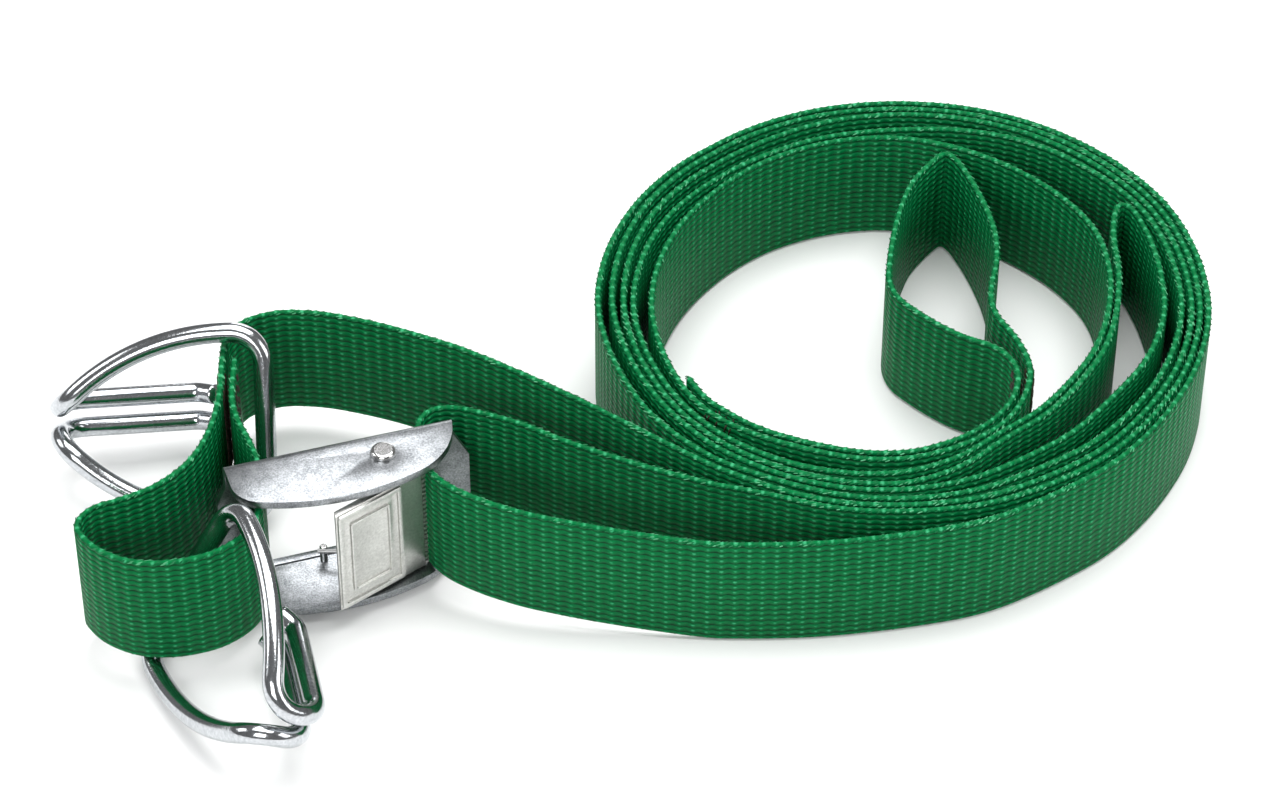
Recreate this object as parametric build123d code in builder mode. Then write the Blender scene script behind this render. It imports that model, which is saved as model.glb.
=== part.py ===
from build123d import *
from math import atan2, cos, hypot, pi, radians, sin, sqrt, tan
import os

# Cam buckle tie-down strap lying on its edge: one long webbing wound into a loose coil, a
# sprung cam buckle and two double-claw wire hooks. Millimetres, +Z up, floor at z = 0.

# ---- webbing
web_width = 25.0
web_thick = 1.2
buckle_lift = 4.6        # the webbing rides this high where it runs inside the buckle
lift_from_x = 15.0       # it lies on the floor to the right of this
lift_full_x = -33.0      # and is fully lifted to the left of this

# ---- coil: each pass of the webbing is an inset from one oval
coil_x, coil_y = 51.2, 19.1
coil_rx, coil_ry = 58.9, 62.2

# ---- buckle
buckle_x, buckle_y, buckle_z = -75.0, -28.7, 2.2
buckle_turn = 17.0       # degrees the frame is turned on the floor
frame_high = 29.6
frame_long = 43.0
sheet = 1.6
bend_radius = 2.2
cross_bar = 5.0          # width of the bar that the webbing is sewn round
anvil_from = 38.3        # left edge of the bar that the cam presses towards
anvil_to = 46.0
left_tongue = 1.7
lip = 1.95               # web left standing above and below the window
pin_along, pin_back = 28.75, -6.2
pin_radius, pin_gap = 1.5, 0.05
head_radius, head_high = 2.35, 1.0
peg_along, peg_back = 17.2, -2.6
peg_radius, peg_high = 0.75, 3.6

# ---- cam lever, drawn from the pin
lever_turn = 37.9        # degrees from X, at rest
lever_face = -5.95
lever_left, lever_right = -15.0, 4.6
lever_sheet = 1.3
lever_low, lever_high = 4.7, 29.2
ear_radius = 3.1
ear_inset = 1.3
tooth_pitch, tooth_high = 1.1, 0.3
panel_rise = 0.5

# ---- torsion spring on the pin
spring_wire = 0.45
spring_radius = 2.1
spring_pitch, spring_turns = 1.1, 6
spring_low = 8.3
spring_leg = 13.0

# ---- hooks
wire = 1.95              # radius
hook_half = 18.0         # half the bar, between the arms' middle lines
bar_corner = 6.0
arm_reach = 35.5
tip_half = 6.54          # the arms' half gap where the claws begin
claw_bend = 5.65
leg_long, leg_open = 20.0, 13.0
end_bend_radius, end_long, end_bend = 3.5, 2.6, 45.0


def coil_point(angle, inset):
    turn = radians(angle)
    return (coil_x + (coil_rx - inset) * cos(turn), coil_y + (coil_ry - inset) * sin(turn))


def coil_pass(start, step, insets):
    """Points every half step, from one inset for each whole step."""
    points = []
    for number in range(2 * len(insets) - 1):
        inset = (insets[number // 2] + insets[(number + 1) // 2]) / 2
        points.append(coil_point(start + step * number / 2, inset))
    return points


def ribbon_bends(points, side):
    """Start, middle and end of every bend of one side of a ribbon, as far from its middle line."""
    bends = []
    for corner, before, after in zip(points[1:], points, points[2:]):
        corner, before, after = Vector(corner), Vector(before), Vector(after)
        way_in, way_out = (corner - before).normalized(), (after - corner).normalized()
        cut = 0.47 * min((corner - before).length, (after - corner).length)
        turn = radians(way_in.get_signed_angle(way_out, Vector(0, 0, 1)))
        radius = cut / tan(turn / 2)
        centre = corner - way_in * cut + Vector(-way_in.Y, way_in.X) * radius
        out = (corner - centre).normalized() * (1 if radius > 0 else -1)
        bends.append((corner - way_in * cut + Vector(-way_in.Y, way_in.X) * side,
                      centre + out * (radius - side),
                      corner + way_out * cut + Vector(-way_out.Y, way_out.X) * side))
    return bends


# From the sewn end beside the upper hook, round the cross bar, the left loop and the upper
# hook's bar, to the coil.
hook_end = [(-74.7, 1.6), (-74.8, -5.0), (-74.5, -10.2), (-73.2, -15.0), (-70.6, -20.5),
            (-68.6, -26.0), (-67.6, -32.0), (-67.5, -38.6), (-69.9, -44.8), (-75.4, -49.4),
            (-83.0, -51.6), (-90.2, -51.4), (-96.8, -48.0), (-101.0, -42.4), (-98.6, -37.8),
            (-93.0, -35.6), (-87.4, -32.6), (-82.6, -28.0), (-79.3, -22.0), (-77.5, -15.0),
            (-76.8, -7.0), (-77.1, 1.0), (-76.9, 7.4), (-73.8, 12.0), (-67.4, 14.6),
            (-59.0, 14.1), (-48.0, 11.0), (-35.5, 5.8), (-22.0, -0.6), (-8.5, -8.2),
            (4.0, -16.0), (13.4, -21.7)]
inner_passes = coil_pass(-120, 30, [7.6, 10.6, 10.6, 7.8, 3.2, 1.0, 1.7, 3.4, 4.9, 4.4, 5.2, 8.4,
                                    13.0, 16.2, 23.2, 22.0, 17.9])
fold = [(93.5, 31.5), (93.0, 40.0), (93.6, 47.0), (95.3, 51.4), (97.8, 48.4), (99.9, 41.5),
        (101.3, 33.0)]
middle_start = [coil_point(0, 8.5), coil_point(-15, 11.5)]
middle_passes = coil_pass(-30, -30, [15.0, 16.9, 14.6, 11.4, 6.8, 3.0, 2.1, 1.9, 1.7, 0.1, -0.6,
                                     1.6, 6.0, 8.6, 9.0, 6.0])
# Round the anvil bar, through the cam and back to the coil.
through_cam = [(5.0, -24.6), (-5.5, -21.2), (-13.8, -18.0), (-21.1, -14.5), (-27.0, -12.8),
               (-32.5, -11.5), (-37.0, -11.7), (-39.4, -14.1), (-40.0, -17.6), (-39.6, -21.2),
               (-38.8, -24.8), (-37.2, -28.4), (-33.8, -32.2), (-28.0, -35.2), (-20.5, -37.8),
               (-9.5, -39.9), (1.0, -41.3), (12.0, -42.4), (24.0, -42.6), (36.0, -42.0)]
outer_passes = coil_pass(-90, 30, [3.4, 6.2, 4.2, 0.0, -2.3, -1.5, -0.1, 0.2, 0.4, 0.2, 3.1, 9.8,
                                   12.2, 13.2, 9.9, 5.2, 2.6, 4.0, 8.4, 8.6, 7.3, 7.0, 10.0,
                                   14.8, 19.2, 24.9, 23.7, 19.5, 14.0, 12.8, 10.4, 10.1, 10.5,
                                   10.6, 12.4, 19.6, 22.6])
# The eye sewn in the free end, and the tail that lies against the webbing.
eye = [(61.2, -16.9), (68.9, -11.2), (73.2, -4.2), (75.0, 4.0), (72.6, 12.0), (68.4, 19.4),
       (68.3, 26.0), (70.0, 33.0), (70.4, 41.0), (68.9, 49.4), (66.4, 57.6), (64.0, 63.4),
       (61.9, 66.3), (59.0, 63.2), (54.6, 57.0), (51.6, 47.6), (49.8, 37.6), (48.8, 28.4),
       (50.2, 23.4), (55.6, 17.6), (62.0, 12.6), (68.4, 9.8), (71.8, 5.6), (72.3, 0.6),
       (70.6, -5.2), (66.6, -10.6), (60.4, -15.2)]
tail = [coil_point(-90, 24.2), coil_point(-105, 22.9), coil_point(-120, 21.3),
        coil_point(-135, 18.0), coil_point(-150, 15.0), coil_point(-157, 14.5)]
route = (hook_end + inner_passes + fold + middle_start + middle_passes + through_cam
         + outer_passes + eye + tail)

ends = [Vector(point) for point in (route[0], route[1], route[-2], route[-1])]
start_way, end_way = (ends[1] - ends[0]).normalized(), (ends[3] - ends[2]).normalized()
outline, corners = [], []
for side in (web_thick / 2, -web_thick / 2):
    first = here = ends[0] + Vector(-start_way.Y, start_way.X) * side
    last = ends[3] + Vector(-end_way.Y, end_way.X) * side
    for start, middle, end in ribbon_bends(route, side):
        outline += [Edge.make_line(here, start), Edge.make_three_point_arc(start, middle, end)]
        here = end
    outline.append(Edge.make_line(here, last))
    corners += [first, last]
outline += [Edge.make_line(corners[0], corners[2]), Edge.make_line(corners[1], corners[3])]

with BuildPart() as webbing:
    with BuildSketch():
        with BuildLine():
            add(Wire(outline))
        make_face()
    extrude(amount=web_width + buckle_lift)
    with BuildSketch(Plane.XZ):
        with BuildLine():
            Polyline((-130, buckle_lift), (lift_full_x, buckle_lift), (lift_from_x, 0), (130, 0),
                     (130, web_width), (lift_from_x, web_width),
                     (lift_full_x, buckle_lift + web_width), (-130, buckle_lift + web_width),
                     close=True)
        make_face()
    extrude(amount=130, both=True, mode=Mode.INTERSECT)
webbing.part.label = "strap_webbing"

# ---- buckle frame, drawn along its own X with its back plate at Y = 0
with BuildPart() as buckle_frame:
    with BuildSketch(Plane.YZ.offset(-5)):
        with Locations((-8, frame_high / 2)):
            Rectangle(16, frame_high)
        fillet([v for v in vertices() if v.Y > 0 or v.X > -1], bend_radius)
        with Locations((-8 - sheet, frame_high / 2)):
            Rectangle(16, frame_high - 2 * sheet, mode=Mode.SUBTRACT)
    extrude(amount=60)
    with BuildSketch():
        with BuildLine():
            Line((0, 1), (0.2, -6.8))
            ThreePointArc((0.2, -6.8), (1.5, -9.9), (4.6, -12.0))
            ThreePointArc((4.6, -12.0), (19.0, -14.7), (35.0, -12.1))
            ThreePointArc((35.0, -12.1), (40.6, -7.6), (frame_long, -1))
            Polyline((frame_long, -1), (frame_long, 1), (0, 1))
        make_face()
    extrude(amount=frame_high, mode=Mode.INTERSECT)
    with BuildSketch(Plane.XZ):
        with BuildLine():
            Polyline((-left_tongue, 9), (0.5, 4), (40, 3), (frame_long, 3.2), (anvil_to, 10),
                     (anvil_to, 20), (frame_long, 26.2), (40, 26.6), (0.5, 25.6),
                     (-left_tongue, 20.6), close=True)
        make_face()
        fillet([v for v in vertices() if v.X < 0 or v.X > frame_long - 1], 1.2)
    extrude(amount=sheet)
    with BuildSketch(Plane.XZ):
        with Locations(((cross_bar + anvil_from) / 2, frame_high / 2)):
            RectangleRounded(anvil_from - cross_bar, frame_high - 2 * lip, 1.4)
    extrude(amount=sheet + 0.5, mode=Mode.SUBTRACT)
    with BuildSketch():
        with Locations((pin_along, pin_back)):
            Circle(pin_radius + pin_gap)
    extrude(amount=frame_high, mode=Mode.SUBTRACT)
print("frame", len(buckle_frame.part.solids()), buckle_frame.part.bounding_box())

with BuildPart() as pivot_pin:
    with BuildSketch(Plane.XY.offset(-head_high)):
        with Locations((pin_along, pin_back)):
            Circle(head_radius)
    extrude(amount=head_high - pin_gap)
    with BuildSketch(Plane.XY.offset(frame_high + pin_gap)):
        with Locations((pin_along, pin_back)):
            Circle(head_radius)
    extrude(amount=head_high - pin_gap)
    fillet(pivot_pin.edges().filter_by(GeomType.CIRCLE).group_by(Axis.Z)[-1], 0.7)
    fillet(pivot_pin.edges().filter_by(GeomType.CIRCLE).group_by(Axis.Z)[0], 0.7)
    with Locations((pin_along, pin_back, frame_high / 2)):
        Cylinder(pin_radius, frame_high + 1)

with BuildPart() as spring_peg:
    with Locations((peg_along, peg_back, sheet + pin_gap)):
        Cylinder(peg_radius, peg_high, align=(Align.CENTER, Align.CENTER, Align.MIN))
    fillet(spring_peg.edges().filter_by(GeomType.CIRCLE).group_by(Axis.Z)[-1], 0.25)

with BuildPart() as cam_spring:
    with BuildLine() as coil_path:
        coil_wire = Helix(spring_pitch, spring_pitch * spring_turns, spring_radius)
        Line(coil_wire @ 0, coil_wire @ 0 - (coil_wire % 0) * spring_leg)
    with BuildSketch(Plane(origin=coil_path.line @ 0, z_dir=coil_path.line % 0)):
        Circle(spring_wire)
    sweep(path=coil_path.line)

# ---- cam lever, drawn from the pin with its thumb plate along X
with BuildPart() as cam_lever:
    with BuildSketch(Plane.XY.offset(lever_low)):
        with BuildLine():
            Polyline((lever_left, lever_face), (lever_right - 0.5, lever_face),
                     (lever_right, lever_face + 0.7), (lever_right - 0.4, lever_face + 2.6),
                     (2.4, lever_face + lever_sheet + 1.6), (0.6, lever_face + lever_sheet),
                     (lever_left + 0.6, lever_face + lever_sheet), close=True)
        make_face()
    extrude(amount=lever_high - lever_low)
    # the two ears that run back to the pin
    for low in (lever_low + ear_inset, lever_high - ear_inset - lever_sheet):
        with BuildSketch(Plane.XY.offset(low)):
            with BuildLine():
                Polyline((-9.5, lever_face + 0.6), (-ear_radius, -0.6), (ear_radius, -0.6),
                         (3.4, lever_face + 1.2), close=True)
            make_face()
            Circle(ear_radius)
        extrude(amount=lever_sheet)
    # the raised panel pressed into the thumb plate, and the sunk field inside it
    with BuildSketch(Plane.XZ.offset(-lever_face)):
        with Locations((lever_left + 7.35, (lever_low + lever_high) / 2)):
            RectangleRounded(14.1, 23.6, 0.7)
            RectangleRounded(12.3, 21.8, 0.6, mode=Mode.SUBTRACT)
            RectangleRounded(8.8, 17.6, 0.6)
            RectangleRounded(7.8, 16.6, 0.5, mode=Mode.SUBTRACT)
    extrude(amount=panel_rise)
    # the teeth along the gripping edge
    count = int((lever_high - lever_low) / tooth_pitch)
    for number in range(count):
        height = lever_low + (number + 0.5) * (lever_high - lever_low) / count
        with BuildSketch(Plane.XY.offset(height - tooth_pitch * 0.25)):
            with BuildLine():
                Polyline((lever_right - 0.9, lever_face + 0.9), (lever_right - 0.2, lever_face + 0.3),
                         (lever_right + tooth_high, lever_face + 1.1),
                         (lever_right - 0.2, lever_face + 2.2), close=True)
            make_face()
        extrude(amount=tooth_pitch * 0.5)
    with Locations((0, 0, 0)):
        Cylinder(pin_radius + pin_gap, 100, mode=Mode.SUBTRACT)
print("lever", len(cam_lever.part.solids()), cam_lever.part.bounding_box())


# ---- one double-claw hook, drawn with its bar on Y and its claws towards +X and +Z
arm_drop, arm_run = hook_half - tip_half, arm_reach - bar_corner
arm_turn = 2 * atan2(arm_drop, arm_run)
arm_radius = arm_run / sin(arm_turn)
leg_turn = radians(90 - leg_open)


def arm_point(part):
    turn = arm_turn * part
    return Vector(bar_corner + arm_radius * sin(turn), hook_half - arm_radius * (1 - cos(turn)), 0)


def claw_arc(start, along, towards, turn, radius):
    """The middle and end points of a bend that leaves start along one direction and turns to another."""
    centre = start + towards * radius
    return [centre - towards * radius * cos(turn * part) + along * radius * sin(turn * part)
            for part in (0.5, 1)]


arm_end = arm_point(1)
arm_way = Vector(cos(arm_turn), -sin(arm_turn), 0)
claw_mid, claw_top = claw_arc(arm_end, arm_way, Vector(0, 0, 1), pi / 2, claw_bend)
back_mid, back_end = claw_arc(claw_top, Vector(0, 0, 1), Vector(-1, 0, 0), leg_turn, claw_bend)
leg_way = Vector(-sin(leg_turn), 0, cos(leg_turn))
leg_side = Vector(-cos(leg_turn), 0, -sin(leg_turn))
leg_end = back_end + leg_way * leg_long
tip_mid, tip_bend = claw_arc(leg_end, leg_way, leg_side, radians(end_bend), end_bend_radius)
tip_way = leg_way * cos(radians(end_bend)) + leg_side * sin(radians(end_bend))
corner_mid = bar_corner * (1 - sqrt(0.5))

with BuildPart() as hook:
    with BuildLine() as hook_path:
        Line((0, 0, 0), (0, hook_half - bar_corner, 0))
        ThreePointArc((0, hook_half - bar_corner, 0), (corner_mid, hook_half - corner_mid, 0),
                      (bar_corner, hook_half, 0))
        ThreePointArc(arm_point(0), arm_point(0.5), arm_end)
        ThreePointArc(arm_end, claw_mid, claw_top)
        ThreePointArc(claw_top, back_mid, back_end)
        Line(back_end, leg_end)
        ThreePointArc(leg_end, tip_mid, tip_bend)
        Line(tip_bend, tip_bend + tip_way * end_long)
    with BuildSketch(Plane.XZ):
        Circle(wire)
    sweep(path=hook_path.line)
    mirror(about=Plane.XZ)
print("hook", len(hook.part.solids()), hook.part.volume, hook.part.bounding_box())


# ---- placing: buckle parts share the frame's position, the lever and spring the pin's
buckle_place = Location((buckle_x, buckle_y, buckle_z), (0, 0, buckle_turn))
turn = radians(buckle_turn)
pin_x = buckle_x + pin_along * cos(turn) - pin_back * sin(turn)
pin_y = buckle_y + pin_along * sin(turn) + pin_back * cos(turn)
lever_place = Location((pin_x, pin_y, 0), (0, 0, lever_turn))
spring_place = Location((pin_x, pin_y, spring_low), (0, 0, 265.4))
print("pin", pin_x, pin_y)

hook_upper = Plane(origin=(-69.2, -4.6, 17.75), x_dir=(-1, 0.02, -0.03), z_dir=(0.03, 0.86, -0.5))
hook_lower = Plane(origin=(-80.8, -42.8, 17.1), x_dir=(0.4, -0.92, 0.014),
                   z_dir=(0.773, 0.324, -0.552))

# ---- stitching: rows of thread through both layers of each seam
stitch_long, stitch_wide, stitch_proud = 1.9, 0.55, 0.3


def seam(name, x, y, angle, layers, rows, row_gap, columns, column_gap, low):
    with BuildPart() as thread:
        with Locations(Location((x, y, low), (0, 0, angle))):
            with Locations([(column * column_gap, 0, row * row_gap)
                            for row in range(rows) for column in range(columns)]):
                Box(stitch_wide, layers, stitch_long, align=(Align.CENTER, Align.CENTER, Align.MIN))
    thread.part.label = name
    return thread.part


seams = [
    seam("fold_stitching", -75.8, -4.9, 90, 3.9, 8, 2.9, 3, 2.0, buckle_lift + 1.2),
    seam("eye_stitching", 73.2, 1.2, 82, 3.9, 8, 2.9, 3, 2.4, 1.2),
    seam("tail_stitching", 16.8, -8.7, -44, 3.9, 8, 2.9, 3, 2.0, 1.2),
]

pieces = [webbing.part]
for name, made, place in (("buckle_frame", buckle_frame.part, buckle_place),
                          ("pivot_pin", pivot_pin.part, buckle_place),
                          ("spring_peg", spring_peg.part, buckle_place),
                          ("cam_spring", cam_spring.part, spring_place),
                          ("cam_lever", cam_lever.part, lever_place),
                          ("hook_upper", hook.part, hook_upper.location),
                          ("hook_lower", hook.part, hook_lower.location)):
    piece = made.moved(place)
    piece.label = name
    pieces.append(piece)

# ---- the frame: origin at the middle of the footprint, on the floor
boxes = [piece.bounding_box() for piece in pieces + seams]
middle_x = (min(box.min.X for box in boxes) + max(box.max.X for box in boxes)) / 2
middle_y = (min(box.min.Y for box in boxes) + max(box.max.Y for box in boxes)) / 2
to_middle = Location((-middle_x, -middle_y, -min(box.min.Z for box in boxes)))
print("moved by", to_middle.position)

os.makedirs("parts", exist_ok=True)
for piece in pieces + seams:
    label = piece.label
    piece = piece.moved(to_middle)
    piece.label = label
    export_step(piece, "parts/" + label + ".step")
    print(piece.label, round(piece.volume, 1), piece.bounding_box(), len(piece.solids()))
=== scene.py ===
import math

import bmesh
import bpy
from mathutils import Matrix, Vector


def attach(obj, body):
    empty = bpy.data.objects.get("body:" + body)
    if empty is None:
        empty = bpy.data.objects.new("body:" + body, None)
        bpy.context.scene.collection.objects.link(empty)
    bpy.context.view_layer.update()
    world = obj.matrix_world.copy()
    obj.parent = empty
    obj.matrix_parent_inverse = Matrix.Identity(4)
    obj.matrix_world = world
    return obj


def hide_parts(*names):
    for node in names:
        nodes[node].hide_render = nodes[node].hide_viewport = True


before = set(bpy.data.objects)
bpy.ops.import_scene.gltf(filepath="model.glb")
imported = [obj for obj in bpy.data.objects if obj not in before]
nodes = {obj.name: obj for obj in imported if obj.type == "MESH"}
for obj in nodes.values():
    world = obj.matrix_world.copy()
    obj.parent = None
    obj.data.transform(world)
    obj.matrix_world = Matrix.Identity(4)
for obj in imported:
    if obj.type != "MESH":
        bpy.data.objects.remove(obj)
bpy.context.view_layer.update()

# All sizes are in millimetres from the strap's own drawing; toMiddle moves that drawing's
# origin to the middle of the footprint.
mm = 0.001
toMiddle = Vector((0.155765, -0.547769, 0.0))


def place(x, y, z=0.0):
    return (Vector((x, y, z)) + toMiddle) * mm


# Camera
cameraSettings = {"target": (0.0, 6.5, 12.5), "distance": 850.0, "elevation": 44.0,
                  "lens": 126.7, "sensor": 36.0, "near": 0.01, "far": 20.0}


def makeCamera(settings):
    camera = bpy.data.objects.new("camera", bpy.data.cameras.new("camera"))
    bpy.context.scene.collection.objects.link(camera)
    tilt = math.radians(settings["elevation"])
    back = Vector((0, -math.cos(tilt), math.sin(tilt)))
    camera.location = place(*settings["target"]) + back * settings["distance"] * mm
    camera.rotation_euler = (math.radians(90 - settings["elevation"]), 0, 0)
    camera.data.lens = settings["lens"]
    camera.data.sensor_width = settings["sensor"]
    camera.data.clip_start, camera.data.clip_end = settings["near"], settings["far"]
    bpy.context.scene.camera = camera


makeCamera(cameraSettings)
print("camera placed")


# Shader helpers
class Signal:
    def __init__(self, tree, socket):
        self.tree, self.socket = tree, socket

    def maths(self, operation, *others):
        sockets = {0: self}
        sockets.update({number + 1: other for number, other in enumerate(others)})
        return self.tree.node("ShaderNodeMath", {"operation": operation}, sockets)

    def __add__(self, other):
        return self.maths("ADD", other)

    __radd__ = __add__

    def __mul__(self, other):
        return self.maths("MULTIPLY", other)

    __rmul__ = __mul__

    def __sub__(self, other):
        return self.maths("SUBTRACT", other)

    def __rsub__(self, other):
        return (self * -1) + other

    def __truediv__(self, other):
        return self.maths("DIVIDE", other)

    def __pow__(self, other):
        return self.maths("POWER", other)

    def sine(self):
        return self.maths("SINE")

    def size(self):
        return self.maths("ABSOLUTE")

    def clamped(self, low=0.0, high=1.0):
        return self.tree.node("ShaderNodeClamp", {}, {"Value": self, "Min": low, "Max": high})


class Finish:
    def __init__(self, name):
        self.material = bpy.data.materials.new(name)
        self.material.use_nodes = True
        self.nodes = self.material.node_tree.nodes
        self.links = self.material.node_tree.links
        self.shader = self.nodes["Principled BSDF"]

    def node(self, kind, settings, sockets, output=0):
        made = self.nodes.new(kind)
        for key, value in settings.items():
            setattr(made, key, value)
        for key, value in sockets.items():
            self.feed(made.inputs[key], value)
        return Signal(self, made.outputs[output])

    def feed(self, socket, value):
        if isinstance(value, Signal):
            self.links.new(value.socket, socket)
        elif isinstance(value, tuple) and len(value) == 3 and socket.type == "RGBA":
            socket.default_value = (*value, 1.0)
        else:
            socket.default_value = value

    def set(self, **values):
        for key, value in values.items():
            self.feed(self.shader.inputs[key.replace("_", " ")], value)
        return self.material

    def coordinates(self, output="Object"):
        return self.node("ShaderNodeTexCoord", {}, {}, output)

    def noise(self, scale, detail=2.0):
        return self.node("ShaderNodeTexNoise", {}, {"Vector": self.coordinates(),
                                                    "Scale": scale, "Detail": detail})

    def mix(self, factor, first, second):
        return self.node("ShaderNodeMix", {"data_type": "RGBA"},
                         {0: factor, 6: first, 7: second}, 2)

    def bump(self, height, distance, strength=1.0):
        return self.node("ShaderNodeBump", {}, {"Height": height, "Distance": distance,
                                                "Strength": strength})


# Meshes
def meshPiece(name, points, faces, material, uvs=None, smooth=True):
    mesh = bpy.data.meshes.new(name)
    mesh.from_pydata(points, [], faces)
    mesh.materials.append(material)
    mesh.polygons.foreach_set("use_smooth", [smooth] * len(mesh.polygons))
    if uvs:
        layer = mesh.uv_layers.new(name="along")
        layer.data.foreach_set("uv", [value for face in uvs for uv in face for value in uv])
    mesh.update()
    piece = bpy.data.objects.new(name, mesh)
    bpy.context.scene.collection.objects.link(piece)
    return piece


# The webbing's route, from its sewn end to its free end
coil = {"x": 51.2, "y": 19.1, "rx": 58.9, "ry": 62.2}
webbing = {"width": 25.0, "thick": 1.2, "lift": 4.6, "liftFrom": 15.0, "liftFull": -33.0,
           "step": 0.9, "bendCut": 0.47, "edgeRound": 0.45, "edgeIn": 0.55, "edgeDrop": 0.25}


def coilPoint(angle, inset):
    turn = math.radians(angle)
    return (coil["x"] + (coil["rx"] - inset) * math.cos(turn),
            coil["y"] + (coil["ry"] - inset) * math.sin(turn))


def coilPass(start, step, insets):
    points = []
    for number in range(2 * len(insets) - 1):
        inset = (insets[number // 2] + insets[(number + 1) // 2]) / 2
        points.append(coilPoint(start + step * number / 2, inset))
    return points


# From the sewn end beside the upper hook, round the cross bar, the left loop and the upper
# hook's bar, to the coil.
hookEnd = [(-74.7, 1.6), (-74.8, -5.0), (-74.5, -10.2), (-73.2, -15.0), (-70.6, -20.5),
           (-68.6, -26.0), (-67.6, -32.0), (-67.5, -38.6), (-69.9, -44.8), (-75.4, -49.4),
           (-83.0, -51.6), (-90.2, -51.4), (-96.8, -48.0), (-101.0, -42.4), (-98.6, -37.8),
           (-93.0, -35.6), (-87.4, -32.6), (-82.6, -28.0), (-79.3, -22.0), (-77.5, -15.0),
           (-76.8, -7.0), (-77.1, 1.0), (-76.9, 7.4), (-73.8, 12.0), (-67.4, 14.6),
           (-59.0, 14.1), (-48.0, 11.0), (-35.5, 5.8), (-22.0, -0.6), (-8.5, -8.2),
           (4.0, -16.0), (13.4, -21.7)]
innerPasses = coilPass(-120, 30, [7.6, 10.6, 10.6, 7.8, 3.2, 1.0, 1.7, 3.4, 4.9, 4.4, 5.2, 8.4,
                                  13.0, 16.2, 23.2, 22.0, 17.9])
fold = [(93.5, 31.5), (93.0, 40.0), (93.6, 47.0), (95.3, 51.4), (97.8, 48.4), (99.9, 41.5),
        (101.3, 33.0)]
middleStart = [coilPoint(0, 8.5), coilPoint(-15, 11.5)]
middlePasses = coilPass(-30, -30, [15.0, 16.9, 14.6, 11.4, 6.8, 3.0, 2.1, 1.9, 1.7, 0.1, -0.6,
                                   1.6, 6.0, 8.6, 9.0, 6.0])
# Round the anvil bar, through the cam and back to the coil.
throughCam = [(5.0, -24.6), (-5.5, -21.2), (-13.8, -18.0), (-21.1, -14.5), (-27.0, -12.8),
              (-32.5, -11.5), (-37.0, -11.7), (-39.4, -14.1), (-40.0, -17.6), (-39.6, -21.2),
              (-38.8, -24.8), (-37.2, -28.4), (-33.8, -32.2), (-28.0, -35.2), (-20.5, -37.8),
              (-9.5, -39.9), (1.0, -41.3), (12.0, -42.4), (24.0, -42.6), (36.0, -42.0)]
outerPasses = coilPass(-90, 30, [3.4, 6.2, 4.2, 0.0, -2.3, -1.5, -0.1, 0.2, 0.4, 0.2, 3.1, 9.8,
                                 12.2, 13.2, 9.9, 5.2, 2.6, 4.0, 8.4, 8.6, 7.3, 7.0, 10.0,
                                 14.8, 19.2, 24.9, 23.7, 19.5, 14.0, 12.8, 10.4, 10.1, 10.5,
                                 10.6, 12.4, 19.6, 22.6])
# The eye sewn in the free end, and the tail that lies against the webbing.
eye = [(61.2, -16.9), (68.9, -11.2), (73.2, -4.2), (75.0, 4.0), (72.6, 12.0), (68.4, 19.4),
       (68.3, 26.0), (70.0, 33.0), (70.4, 41.0), (68.9, 49.4), (66.4, 57.6), (64.0, 63.4),
       (61.9, 66.3), (59.0, 63.2), (54.6, 57.0), (51.6, 47.6), (49.8, 37.6), (48.8, 28.4),
       (50.2, 23.4), (55.6, 17.6), (62.0, 12.6), (68.4, 9.8), (71.8, 5.6), (72.3, 0.6),
       (70.6, -5.2), (66.6, -10.6), (60.4, -15.2)]
tail = [coilPoint(-90, 24.2), coilPoint(-105, 22.9), coilPoint(-120, 21.3),
        coilPoint(-135, 18.0), coilPoint(-150, 15.0), coilPoint(-157, 14.5)]
route = (hookEnd + innerPasses + fold + middleStart + middlePasses + throughCam
         + outerPasses + eye + tail)


def smoothRoute(points, step):
    # straight runs and round bends through the points, as even steps of (x, y, distance)
    samples = []
    travelled = 0.0

    def run(length, at):
        nonlocal travelled
        count = max(1, round(length / step))
        for number in range(count):
            x, y = at(number / count)
            samples.append((x, y, travelled + length * number / count))
        travelled += length

    here = Vector(points[0])
    for before, corner, after in zip(points, points[1:], points[2:]):
        before, corner, after = Vector(before), Vector(corner), Vector(after)
        wayIn, wayOut = (corner - before).normalized(), (after - corner).normalized()
        cut = webbing["bendCut"] * min((corner - before).length, (after - corner).length)
        turn = math.atan2(wayIn.x * wayOut.y - wayIn.y * wayOut.x, wayIn.dot(wayOut))
        radius = cut / math.tan(turn / 2)
        start = corner - wayIn * cut
        side = Vector((-wayIn.y, wayIn.x))
        begin = here
        run((start - begin).length, lambda part: tuple(begin.lerp(start, part)))
        run(abs(radius * turn), lambda part: tuple(
            start + wayIn * radius * math.sin(turn * part)
            + side * radius * (1 - math.cos(turn * part))))
        here = corner + wayOut * cut
    last = Vector(points[-1])
    begin = here
    run((last - begin).length, lambda part: tuple(begin.lerp(last, part)))
    samples.append((last.x, last.y, travelled))
    return samples


def liftAt(x):
    span = (webbing["liftFrom"] - x) / (webbing["liftFrom"] - webbing["liftFull"])
    return webbing["lift"] * min(1.0, max(0.0, span))


centre = smoothRoute(route, webbing["step"])
ribbonLength = centre[-1][2]
print("webbing route", round(ribbonLength), "mm in", len(centre), "steps")


def wayAt(number):
    before, after = centre[max(number - 1, 0)], centre[min(number + 1, len(centre) - 1)]
    return Vector((after[0] - before[0], after[1] - before[1])).normalized()


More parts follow.
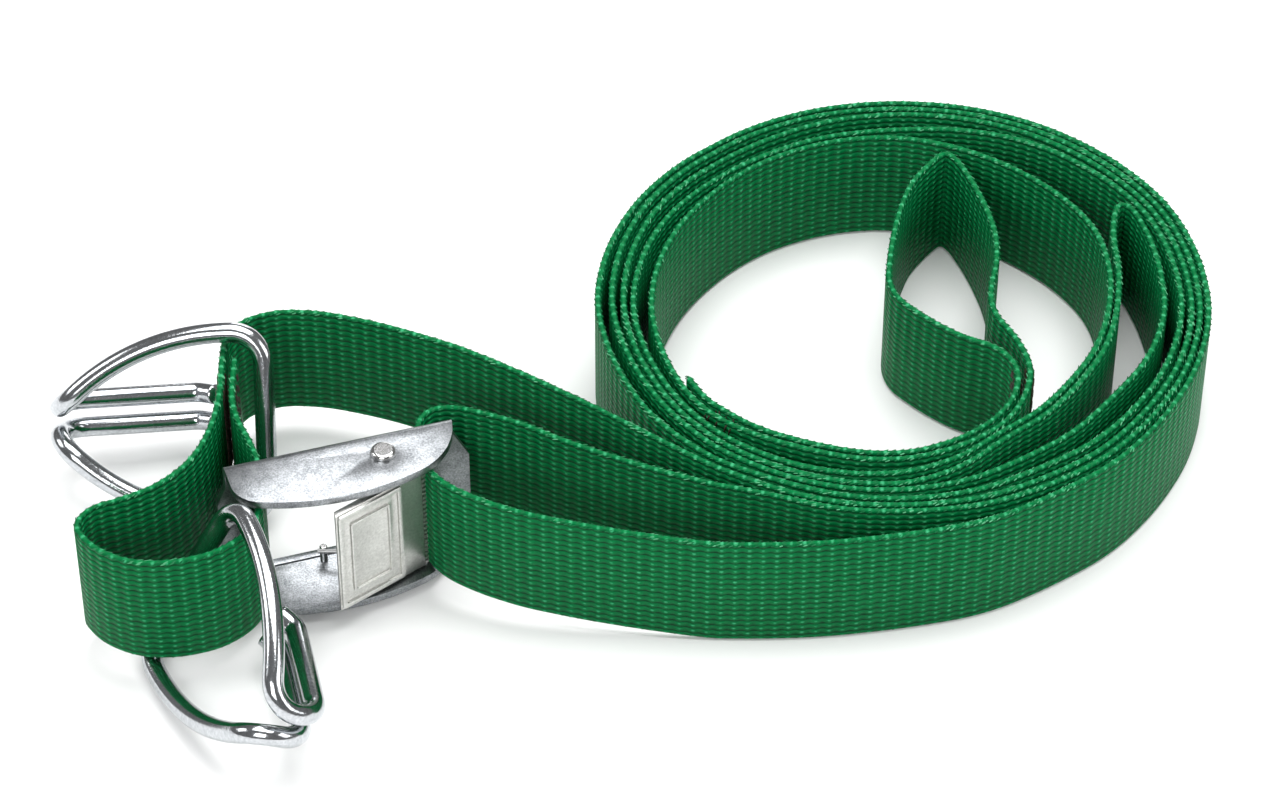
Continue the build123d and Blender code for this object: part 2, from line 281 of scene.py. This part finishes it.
# The weave has rows along the webbing that swell and sink once in every column. Its colour
# carries painted shade in the grooves and painted highlights on the crowns.
weave = {"column": 2.5, "row": 1.35, "wave": 0.1, "relief": 0.34, "driftScale": 55,
         "drift": 0.5, "fuzzScale": 700, "roughness": 0.5, "specular": 0.08,
         "body": (0.0, 0.17, 0.046), "paintedShadeAndDarkTone": (0.0, 0.018, 0.006),
         "fleckAndHighlight": (0.05, 0.4, 0.18), "fleckAndHighlightStrength": 0.95}


def webbingFinish():
    finish = Finish("webbing green")
    # the UV map is in millimetres along and across the webbing
    along = finish.node("ShaderNodeSeparateXYZ", {}, {"Vector": finish.coordinates("UV")})
    across = Signal(finish, along.socket.node.outputs[1])
    column = along / weave["column"]
    wave = (column * (2 * math.pi)).sine()
    drift = finish.noise(weave["driftScale"], 1.0) - 0.5
    uneven = finish.noise(weave["fuzzScale"], 2.0)
    row = across / weave["row"] + wave * weave["wave"] + drift * weave["drift"]
    ridge = (row * math.pi).sine().size()
    swell = wave * 0.5 + 0.5
    groove = (1 - ridge) ** 2.0
    crown = (ridge ** 2.0) * (swell ** 1.5)
    height = crown * 0.7 + ridge * 0.4 - (1 - swell) * 0.35
    # painted shade: the grooves between rows and the sunken half of each swell are darkened
    # towards the darkest green, with real random unevenness of tone on top
    shade = finish.mix((groove * 0.8 + (1 - swell) * 0.3 + (uneven - 0.5) * 0.5).clamped(),
                       weave["body"], weave["paintedShadeAndDarkTone"])
    # painted highlight: the crown of each swell is lightened to a pale green, broken up by real
    # random flecks
    fleckAndHighlight = ((crown - 0.62) * 2.2 + (uneven - 0.55) * 1.6).clamped()
    colour = finish.mix(fleckAndHighlight * weave["fleckAndHighlightStrength"], shade, weave["fleckAndHighlight"])
    return finish.set(Base_Color=colour, Roughness=weave["roughness"],
                      Specular_IOR_Level=weave["specular"],
                      Normal=finish.bump(height, weave["relief"] * mm, 1.0))


def makeWebbing():
    half, high, soft = webbing["thick"] / 2, webbing["width"], webbing["edgeRound"]
    inner, drop = half * webbing["edgeIn"], soft * webbing["edgeDrop"]
    # the webbing's cut section, as (sideways, height)
    section = [(-half, soft), (-half, high - soft), (-inner, high - drop), (0, high),
               (inner, high - drop), (half, high - soft), (half, soft), (inner, drop), (0, 0.0),
               (-inner, drop)]
    points, faces, uvs = [], [], []
    for number, (x, y, distance) in enumerate(centre):
        way = wayAt(number)
        side = Vector((-way.y, way.x))
        for offset, height in section:
            points.append(place(x + side.x * offset, y + side.y * offset, liftAt(x) + height))
    count = len(section)
    across = [height for offset, height in section]
    for number in range(len(centre) - 1):
        near, far = centre[number][2], centre[number + 1][2]
        for edge in range(count):
            following = (edge + 1) % count
            here = number * count
            faces.append((here + edge, here + count + edge, here + count + following,
                          here + following))
            uvs.append(((near, across[edge]), (far, across[edge]), (far, across[following]),
                        (near, across[following])))
    last = (len(centre) - 1) * count
    faces.append(tuple(range(count)))
    uvs.append(tuple((0.0, across[edge]) for edge in range(count)))
    faces.append(tuple(last + edge for edge in reversed(range(count))))
    uvs.append(tuple((ribbonLength, across[edge]) for edge in reversed(range(count))))
    return meshPiece("webbing", points, faces, webbingFinish(), uvs)


strap = makeWebbing()
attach(strap, "strap")
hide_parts("strap_webbing")
ribbonLength * mm
print("webbing woven")


# The selvages: short edge yarns, given by half their length and thickness, in rows along the
# top and bottom of the webbing
selvage = {"pitch": 1.5, "long": 0.8, "thick": 0.14, "tilt": 24.0,
           "rows": (-0.4, -0.14, 0.14, 0.4), "shift": 0.37, "topSink": 0.1, "roundOff": 0.6,
           "bottomHeight": 0.15, "topSides": 6, "bottomSides": 5, "rings": 4,
           "smallest": (0.7, 0.8, 0.8), "largest": (1.35, 1.2, 1.2), "spreadSeed": 3,
           "toneFrom": -1.6, "toneTo": 1.1, "toneSeed": 7, "roughness": 0.5, "specular": 0.14,
           "light": (0.1, 0.4, 0.2), "body": (0.0, 0.115, 0.033)}


def selvageFinish():
    finish = Finish("edge yarn")
    tone = finish.node("ShaderNodeAttribute", {"attribute_name": "tone"}, {}, "Fac")
    colour = finish.mix(tone, selvage["body"], selvage["light"])
    return finish.set(Base_Color=colour, Roughness=selvage["roughness"],
                      Specular_IOR_Level=selvage["specular"])


class Tree:
    # a Geometry Nodes tree with named number inputs
    def __init__(self, name, inputs):
        self.group = bpy.data.node_groups.new(name, "GeometryNodeTree")
        face = self.group.interface
        face.new_socket("Geometry", in_out="INPUT", socket_type="NodeSocketGeometry")
        self.identifiers = {}
        for key, value in inputs.items():
            socket = face.new_socket(key, in_out="INPUT", socket_type="NodeSocketFloat")
            socket.default_value = value
            self.identifiers[key] = socket.identifier
        face.new_socket("Geometry", in_out="OUTPUT", socket_type="NodeSocketGeometry")
        self.source = self.group.nodes.new("NodeGroupInput")
        self.sink = self.group.nodes.new("NodeGroupOutput")

    def node(self, kind, settings, sockets, output=0):
        made = self.group.nodes.new(kind)
        for key, value in settings.items():
            setattr(made, key, value)
        for key, value in sockets.items():
            if hasattr(value, "is_output"):
                self.group.links.new(value, made.inputs[key])
            else:
                made.inputs[key].default_value = value
        return made.outputs[output]

    def apply(self, piece, values):
        modifier = piece.modifiers.new("tree", "NODES")
        modifier.node_group = self.group
        for key, value in values.items():
            modifier[self.identifiers[key]] = value
        shown = piece.evaluated_get(bpy.context.evaluated_depsgraph_get())
        mesh = bpy.data.meshes.new_from_object(shown)
        mesh.name = piece.name
        piece.modifiers.remove(modifier)
        piece.data = mesh


def selvageTree(material, sides):
    tree = Tree("edge yarns", {"Pitch": 1.0, "Length": 1.0, "Thickness": 1.0, "Tilt": 0.0})
    curve = tree.node("GeometryNodeMeshToCurve", {}, {"Mesh": tree.source.outputs["Geometry"]})
    points = tree.node("GeometryNodeResampleCurve", {"mode": "LENGTH"},
                       {"Curve": curve, "Length": tree.source.outputs["Pitch"]})
    tangent = tree.node("GeometryNodeInputTangent", {}, {})
    turned = tree.node("FunctionNodeAlignRotationToVector", {"axis": "X"}, {"Vector": tangent})
    lean = tree.node("ShaderNodeCombineXYZ", {}, {"Z": tree.source.outputs["Tilt"]})
    leaned = tree.node("FunctionNodeEulerToRotation", {}, {"Euler": lean})
    turned = tree.node("FunctionNodeRotateRotation", {"rotation_space": "LOCAL"},
                       {"Rotation": turned, "Rotate By": leaned})
    yarn = tree.node("GeometryNodeMeshUVSphere", {}, {"Radius": 0.5, "Segments": sides,
                                                      "Rings": selvage["rings"]})
    lying = tree.node("GeometryNodeTransform", {}, {"Geometry": yarn,
                                                    "Rotation": (0, math.pi / 2, 0)})
    size = tree.node("ShaderNodeCombineXYZ", {}, {"X": tree.source.outputs["Length"],
                                                  "Y": tree.source.outputs["Thickness"],
                                                  "Z": tree.source.outputs["Thickness"]})
    spread = tree.node("FunctionNodeRandomValue", {"data_type": "FLOAT_VECTOR"},
                       {"Seed": selvage["spreadSeed"], 0: selvage["smallest"],
                        1: selvage["largest"]}, 0)
    size = tree.node("ShaderNodeVectorMath", {"operation": "MULTIPLY"}, {0: size, 1: spread})
    copies = tree.node("GeometryNodeInstanceOnPoints", {},
                       {"Points": points, "Instance": lying, "Rotation": turned, "Scale": size})
    tone = tree.node("FunctionNodeRandomValue", {"data_type": "FLOAT"},
                     {"Seed": selvage["toneSeed"], 2: selvage["toneFrom"],
                      3: selvage["toneTo"]}, 1)
    toned = tree.node("GeometryNodeStoreNamedAttribute",
                      {"data_type": "FLOAT", "domain": "INSTANCE"},
                      {"Geometry": copies, "Name": "tone", "Value": tone})
    real = tree.node("GeometryNodeRealizeInstances", {}, {"Geometry": toned})
    smooth = tree.node("GeometryNodeSetShadeSmooth", {}, {0: real})
    done = tree.node("GeometryNodeSetMaterial", {}, {"Geometry": smooth, "Material": material})
    tree.group.links.new(done, tree.sink.inputs[0])
    return tree


def edgeLine(name, sideways, height, skip, material):
    points = []
    for number, (x, y, distance) in enumerate(centre):
        if distance < skip:
            continue
        way = wayAt(number)
        points.append(place(x - way.y * sideways, y + way.x * sideways, liftAt(x) + height))
    mesh = bpy.data.meshes.new(name)
    mesh.from_pydata(points, [(number, number + 1) for number in range(len(points) - 1)], [])
    mesh.materials.append(material)
    piece = bpy.data.objects.new(name, mesh)
    bpy.context.scene.collection.objects.link(piece)
    return piece


def makeSelvages():
    material = selvageFinish()
    above = selvageTree(material, selvage["topSides"])
    below = selvageTree(material, selvage["bottomSides"])
    top = webbing["width"] - selvage["topSink"]
    rows = [(f"top_yarn_{number + 1}", sideways, top - abs(sideways) * selvage["roundOff"],
             selvage["pitch"] * number * selvage["shift"], above)
            for number, sideways in enumerate(selvage["rows"])]
    rows.append(("bottom_yarn", 0.0, selvage["bottomHeight"], 0.0, below))
    for name, sideways, height, skip, tree in rows:
        piece = edgeLine(name, sideways, height, skip, material)
        tree.apply(piece, {"Pitch": selvage["pitch"] * mm, "Length": selvage["long"] * 2 * mm,
                           "Thickness": selvage["thick"] * 2 * mm,
                           "Tilt": math.radians(selvage["tilt"])})
        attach(piece, "strap")


makeSelvages()
print("selvages laid")


# Sewn seams: rows of thread that dip in and out of both layers
seam = {"rows": 8, "pitch": 2.9, "low": 1.4, "high": 24.3, "long": 2.3, "thread": 0.17,
        "sink": 0.5, "proud": 0.72, "columns": 5, "gap": 1.35, "stagger": 0.6, "lean": 0.5,
        "sides": 6, "dark": (0.012, 0.01, 0.008), "worn": (0.075, 0.05, 0.03),
        "places": (("fold_seam", "fold_stitching", ((-74.8, -4.9), (-76.9, -4.9))),
                   ("eye_seam", "eye_stitching", ((74.6, 2.0), (72.2, 2.0))),
                   ("tail_seam", "tail_stitching", ((17.56, -7.9), (16.04, -9.5))))}


def threadFinish():
    finish = Finish("seam thread")
    worn = finish.noise(1800, 1.0)
    return finish.set(Base_Color=finish.mix(worn, seam["dark"], seam["worn"]), Roughness=0.6)


def threadTree(material):
    tree = Tree("seam thread", {"Radius": 1.0})
    curve = tree.node("GeometryNodeMeshToCurve", {}, {"Mesh": tree.source.outputs["Geometry"]})
    ring = tree.node("GeometryNodeCurvePrimitiveCircle", {},
                     {"Resolution": seam["sides"], "Radius": tree.source.outputs["Radius"]})
    thread = tree.node("GeometryNodeCurveToMesh", {},
                       {"Curve": curve, "Profile Curve": ring, "Fill Caps": True})
    real = tree.node("GeometryNodeRealizeInstances", {}, {"Geometry": thread})
    done = tree.node("GeometryNodeSetMaterial", {}, {"Geometry": real, "Material": material})
    tree.group.links.new(done, tree.sink.inputs[0])
    return tree


def nearest(x, y):
    return min(range(len(centre)), key=lambda number: math.hypot(centre[number][0] - x,
                                                                 centre[number][1] - y))


def makeSeams():
    tree = threadTree(threadFinish())
    for name, node, layers in seam["places"]:
        points, edges = [], []
        for layer in layers:
            middle = nearest(*layer)
            for column in range(seam["columns"]):
                shift = (column - (seam["columns"] - 1) / 2) * seam["gap"]
                number = middle + round(shift / webbing["step"])
                x, y, distance = centre[number]
                way = wayAt(number)
                for face in (-1, 1):
                    for row in range(seam["rows"]):
                        low = seam["low"] + row * seam["pitch"] + (column % 2) * seam["stagger"]
                        first = len(points)
                        # each stitch comes up out of the webbing and goes back in
                        for part, out in ((0, seam["sink"]), (0.2, seam["proud"]),
                                          (0.8, seam["proud"]), (1, seam["sink"])):
                            slide = (part - 0.5) * seam["lean"]
                            height = min(low + part * seam["long"], seam["high"])
                            points.append(place(x - way.y * out * face + way.x * slide,
                                                y + way.x * out * face + way.y * slide,
                                                liftAt(x) + height))
                        edges += [(first + step, first + step + 1) for step in range(3)]
        mesh = bpy.data.meshes.new(name)
        mesh.from_pydata(points, edges, [])
        piece = bpy.data.objects.new(name, mesh)
        bpy.context.scene.collection.objects.link(piece)
        tree.apply(piece, {"Radius": seam["thread"] * mm})
        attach(piece, "strap")
        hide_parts(node)


makeSeams()
print("seams sewn")


# Metal finishes: a bright and a dark tone mottled together, and the depth of the grain
metals = {
    "frame zinc": {"bright": (0.36, 0.375, 0.39), "dark": (0.15, 0.16, 0.17),
                   "roughness": 0.34, "speckle": 3.2, "scale": 460, "grain": 0.05},
    "lever zinc": {"bright": (0.74, 0.74, 0.71), "dark": (0.46, 0.46, 0.44),
                   "roughness": 0.36, "speckle": 1.8, "scale": 300, "grain": 0.03},
    "hook zinc": {"bright": (0.66, 0.68, 0.7), "dark": (0.34, 0.36, 0.38),
                  "roughness": 0.15, "speckle": 1.8, "scale": 260, "grain": 0.04},
    "pin zinc": {"bright": (0.78, 0.78, 0.77), "dark": (0.5, 0.5, 0.5),
                 "roughness": 0.16, "speckle": 1.2, "scale": 500, "grain": 0.0},
    "spring wire": {"bright": (0.5, 0.5, 0.5), "dark": (0.3, 0.3, 0.3),
                    "roughness": 0.35, "speckle": 1.5, "scale": 500, "grain": 0.0}}


def metalFinish(name):
    metal = metals[name]
    finish = Finish(name)
    cloud = finish.noise(metal["scale"], 3.0)
    fine = finish.noise(metal["scale"] * 7, 2.0)
    mottle = (cloud * 0.35 + fine * 0.65 - 0.5) * metal["speckle"] + 0.5
    values = {"Base_Color": finish.mix(mottle.clamped(), metal["dark"], metal["bright"]),
              "Metallic": 1.0,
              "Roughness": (metal["roughness"] + (0.5 - fine) * 0.25).clamped(0.05, 1.0)}
    if metal["grain"]:
        values["Normal"] = finish.bump(fine, metal["grain"] * mm, 0.5)
    return finish.set(**values)


frameZinc = metalFinish("frame zinc")
leverZinc = metalFinish("lever zinc")
hookZinc = metalFinish("hook zinc")
pinZinc = metalFinish("pin zinc")
springWire = metalFinish("spring wire")
print("metals mixed")


def finishNode(name, material):
    node = nodes[name]
    if not node.material_slots:
        node.data.materials.append(material)
    for slot in node.material_slots:
        slot.material = material


# Pressed sheet has slightly rounded edges; angles are in degrees.
pressed = {"frame": 0.3, "lever": 0.14, "steps": 2, "merge": 0.002, "flat": 1.0, "sharp": 35.0,
           "smooth": 30.0}


def softEdged(name, piece, body, material, edge):
    # a merged copy of a node, with its sharp edges rounded, stands in for the node
    mesh = nodes[name].data.copy()
    mesh.name = piece
    work = bmesh.new()
    work.from_mesh(mesh)
    bmesh.ops.remove_doubles(work, verts=work.verts, dist=pressed["merge"] * mm)
    bmesh.ops.dissolve_limit(work, angle_limit=math.radians(pressed["flat"]), verts=work.verts,
                             edges=work.edges)
    sharp = [line for line in work.edges if len(line.link_faces) == 2
             and line.calc_face_angle(0) > math.radians(pressed["sharp"])]
    bmesh.ops.bevel(work, geom=sharp, offset=edge * mm, offset_type="OFFSET",
                    segments=pressed["steps"], profile=0.5, affect="EDGES", clamp_overlap=True)
    bmesh.ops.triangulate(work, faces=work.faces)
    work.to_mesh(mesh)
    work.free()
    mesh.materials.clear()
    mesh.materials.append(material)
    mesh.shade_smooth()
    mesh.set_sharp_from_angle(angle=math.radians(pressed["smooth"]))
    made = bpy.data.objects.new(piece, mesh)
    bpy.context.scene.collection.objects.link(made)
    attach(made, body)
    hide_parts(name)


softEdged("buckle_frame", "frame_plate", "strap", frameZinc, pressed["frame"])
softEdged("cam_lever", "thumb_lever", "cam_lever", leverZinc, pressed["lever"])

# The fine teeth along the lever's gripping edge, placed from the pin that the lever turns on
teeth = {"count": 22, "low": 4.7, "high": 29.2, "pin": (-45.694, -26.223), "turn": 37.9,
         "edge": (4.7, -5.55), "size": (0.75, 0.6, 0.55)}


def makeTeeth():
    turn = math.radians(teeth["turn"])
    across, back = teeth["edge"]
    x = teeth["pin"][0] + across * math.cos(turn) - back * math.sin(turn)
    y = teeth["pin"][1] + across * math.sin(turn) + back * math.cos(turn)
    pitch = (teeth["high"] - teeth["low"]) / teeth["count"]
    tree = Tree("lever teeth", {"Turn": 0.0})
    tooth = tree.node("GeometryNodeMeshCube", {},
                      {"Size": tuple(length * mm for length in teeth["size"])})
    facing = tree.node("ShaderNodeCombineXYZ", {}, {"Z": tree.source.outputs["Turn"]})
    rows = tree.node("GeometryNodeInstanceOnPoints", {},
                     {"Points": tree.source.outputs["Geometry"], "Instance": tooth,
                      "Rotation": facing})
    real = tree.node("GeometryNodeRealizeInstances", {}, {"Geometry": rows})
    done = tree.node("GeometryNodeSetMaterial", {}, {"Geometry": real, "Material": leverZinc})
    tree.group.links.new(done, tree.sink.inputs[0])
    points = [place(x, y, teeth["low"] + (number + 0.5) * pitch)
              for number in range(teeth["count"])]
    mesh = bpy.data.meshes.new("lever_teeth")
    mesh.from_pydata(points, [], [])
    piece = bpy.data.objects.new("lever_teeth", mesh)
    bpy.context.scene.collection.objects.link(piece)
    tree.apply(piece, {"Turn": turn})
    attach(piece, "cam_lever")


makeTeeth()
finishNode("pivot_pin", pinZinc)
finishNode("spring_peg", pinZinc)
finishNode("cam_spring", springWire)
print("buckle finished")


# Double-claw hooks, each one bent wire: the middle of its bar, the way it reaches and the way
# its claws point
hookShape = {"wire": 1.95, "half": 18.0, "corner": 6.0, "reach": 35.5, "tipHalf": 6.54,
             "claw": 5.65, "leg": 20.0, "open": 13.0, "endRadius": 3.5, "endLong": 2.6,
             "endBend": 45.0, "sides": 28, "step": 0.6,
             "upper": ((-69.2, -4.6, 17.75), (-1, 0.02, -0.03), (0.03, 0.86, -0.5)),
             "lower": ((-80.8, -42.8, 17.1), (0.4, -0.92, 0.014), (0.773, 0.324, -0.552))}


def hookRoute(shape):
    # one half of the wire, from the middle of its bar to its tip, as points a step apart
    points = [Vector((0, 0, 0))]
    way = Vector((0, 1, 0))

    def straight(length):
        count = max(1, round(length / shape["step"]))
        start = points[-1]
        points.extend(start + way * length * (number + 1) / count for number in range(count))

    def bend(towards, turn, radius):
        nonlocal way
        start, along = points[-1], way.copy()
        count = max(2, round(abs(turn) * radius / shape["step"]))
        for number in range(count):
            part = turn * (number + 1) / count
            points.append(start + along * radius * math.sin(part)
                          + towards * radius * (1 - math.cos(part)))
        way = along * math.cos(turn) + towards * math.sin(turn)

    straight(shape["half"] - shape["corner"])
    bend(Vector((1, 0, 0)), math.pi / 2, shape["corner"])
    drop, span = shape["half"] - shape["tipHalf"], shape["reach"] - shape["corner"]
    armTurn = 2 * math.atan2(drop, span)
    bend(Vector((0, -1, 0)), armTurn, span / math.sin(armTurn))
    bend(Vector((0, 0, 1)), math.pi / 2, shape["claw"])
    bend(Vector((-1, 0, 0)), math.radians(90 - shape["open"]), shape["claw"])
    straight(shape["leg"])
    leg = way.copy()
    bend(Vector((-leg.z, 0, leg.x)), math.radians(shape["endBend"]), shape["endRadius"])
    straight(shape["endLong"])
    return points


def tube(points, radius, sides):
    rings, faces = [], []
    way = (points[1] - points[0]).normalized()
    side = way.orthogonal().normalized()
    for number, point in enumerate(points):
        before, after = points[max(number - 1, 0)], points[min(number + 1, len(points) - 1)]
        newWay = (after - before).normalized()
        side = (way.rotation_difference(newWay) @ side)
        side = (side - newWay * side.dot(newWay)).normalized()
        way = newWay
        other = way.cross(side)
        rings.extend(point + (side * math.cos(turn) + other * math.sin(turn)) * radius
                     for turn in (2 * math.pi * edge / sides for edge in range(sides)))
    for number in range(len(points) - 1):
        for edge in range(sides):
            following = (edge + 1) % sides
            here = number * sides
            faces.append((here + edge, here + following, here + sides + following,
                          here + sides + edge))
    last = (len(points) - 1) * sides
    faces.append(tuple(reversed(range(sides))))
    faces.append(tuple(last + edge for edge in range(sides)))
    return rings, faces


def makeHook(name, body, node, origin, reachWay, clawWay):
    half = hookRoute(hookShape)
    wire = [Vector((point.x, -point.y, point.z)) for point in reversed(half[1:])] + half
    points, faces = tube(wire, hookShape["wire"], hookShape["sides"])
    clawAxis = Vector(clawWay).normalized()
    reachAxis = Vector(reachWay)
    reachAxis = (reachAxis - clawAxis * reachAxis.dot(clawAxis)).normalized()
    barAxis = clawAxis.cross(reachAxis)
    start = Vector(origin)
    placed = [place(*(start + reachAxis * point.x + barAxis * point.y + clawAxis * point.z))
              for point in points]
    piece = meshPiece(name, placed, faces, hookZinc)
    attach(piece, body)
    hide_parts(node)


makeHook("upper_hook", "hook_upper", "hook_upper", *hookShape["upper"])
makeHook("lower_hook", "hook_lower", "hook_lower", *hookShape["lower"])
print("hooks bent")


# Floor and soft studio light, in metres and watts
studio = {"floor": (0.93, 0.93, 0.93), "half": 6.0, "drop": 0.0002, "world": 0.2,
          "lights": (("overhead", (0.1, 0.25, 1.2), 1.1, 21.0),
                     ("front", (-0.25, -1.0, 0.75), 0.6, 7.0),
                     ("back", (0.1, 1.2, 0.3), 0.5, 2.0), ("side", (1.0, -0.3, 0.6), 0.6, 3.5),
                     ("left", (-1.0, 0.1, 0.7), 0.5, 3.0))}


def makeStudio():
    floorFinish = Finish("floor")
    material = floorFinish.set(Base_Color=studio["floor"], Roughness=0.9, Specular_IOR_Level=0.1)
    half = studio["half"]
    corners = [(x * half, y * half, -studio["drop"]) for x, y in ((-1, -1), (1, -1), (1, 1),
                                                                  (-1, 1))]
    floor = meshPiece("floor", corners, [(0, 1, 2, 3)], material, smooth=False)
    world = bpy.data.worlds.new("studio")
    bpy.context.scene.world = world
    world.use_nodes = True
    background = world.node_tree.nodes["Background"]
    background.inputs["Color"].default_value = (1, 1, 1, 1)
    background.inputs["Strength"].default_value = studio["world"]
    for name, where, size, power in studio["lights"]:
        light = bpy.data.lights.new(name, "AREA")
        light.energy, light.size = power, size
        lamp = bpy.data.objects.new(name, light)
        bpy.context.scene.collection.objects.link(lamp)
        lamp.location = where
        lamp.rotation_euler = (-Vector(where)).to_track_quat("-Z", "Y").to_euler()


makeStudio()
bpy.context.scene.view_settings.view_transform = "Standard"
print("studio lit")
